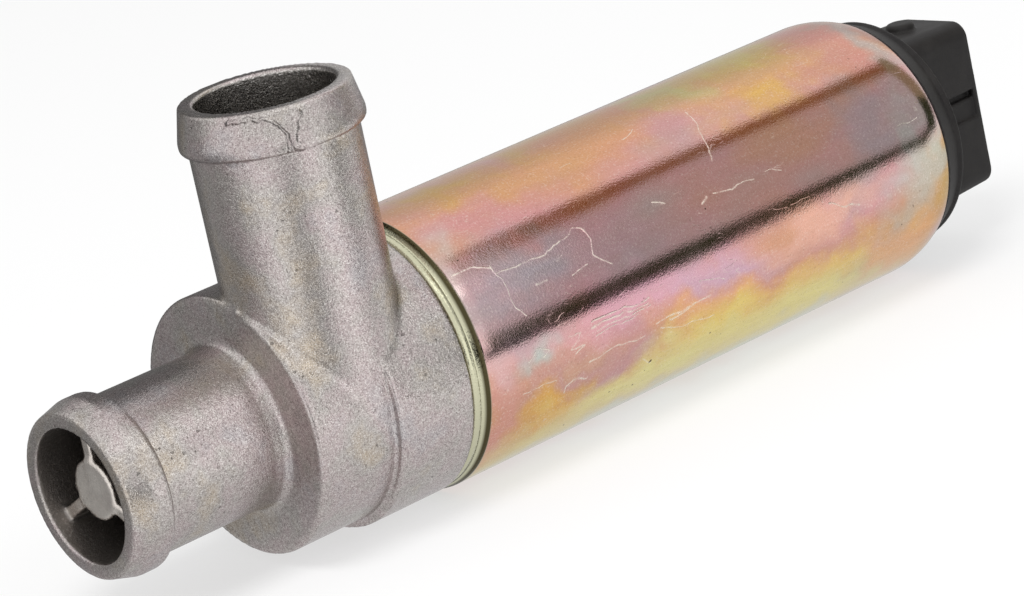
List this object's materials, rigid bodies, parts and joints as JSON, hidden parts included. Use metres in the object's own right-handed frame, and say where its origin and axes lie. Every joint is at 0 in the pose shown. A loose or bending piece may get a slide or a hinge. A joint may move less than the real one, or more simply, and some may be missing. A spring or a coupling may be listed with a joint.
{
  "type": "idle control valve",
  "caption": "Solenoid idle air valve: a plated steel can on a cast body with an axial and a radial hose port, and a plug socket at its rear.",
  "frame": {"origin": "middle of the can's straight wall, on the can's axis", "axes": "+X along the can towards the plug socket, +Z parallel to the radial hose port, pointing out of it, +Y across"},
  "size_m": [0.1718, 0.042, 0.0673],
  "materials": {
    "cast_aluminium": "die cast and shot blasted, dull warm grey with a fine sparkle",
    "bronze": "sintered bronze, oil filled",
    "ground_steel": "ground",
    "turned_aluminium": "turned",
    "seal_rubber": "dull black",
    "spring_steel": "bright",
    "plain_steel": "machined",
    "thin_brass": "drawn, bright",
    "black_steel": "blackened",
    "natural_nylon": "moulded",
    "copper_wire": "enamelled, wound",
    "yellow_zinc": "yellow passivated zinc plate with rose, gold and green tints, lightly scratched",
    "black_nylon": "moulded, satin charcoal black",
    "tinned_brass": "tinned"
  },
  "bodies": {
    "housing": {"valve_body": "cast_aluminium", "front_bush": "bronze", "body_o_ring": "seal_rubber", "front_flux_plate": "plain_steel", "guide_tube": "thin_brass", "tube_seal": "seal_rubber", "return_spring": "spring_steel", "pole_core": "plain_steel", "rear_bush": "bronze", "stop_screw": "black_steel", "coil_bobbin": "natural_nylon", "coil_winding": "copper_wire", "disc_spring": "spring_steel", "rear_flux_plate": "plain_steel", "can": "yellow_zinc", "cap_seal": "seal_rubber", "connector_cap": "black_nylon", "terminal_upper": "tinned_brass", "terminal_lower": "tinned_brass"},
    "plunger": {"valve_shaft": "ground_steel", "valve_poppet": "turned_aluminium", "poppet_seal": "seal_rubber", "poppet_clip": "spring_steel", "armature": "plain_steel"}
  },
  "joints": [
    {"name": "valve_slide", "type": "slide", "parent": "housing", "child": "plunger", "axis": [1, 0, 0], "range_m": [0, 0.004], "stiffness_N_per_m": 600, "springref_m": -0.006, "deforming": ["return_spring"]}
  ]
}
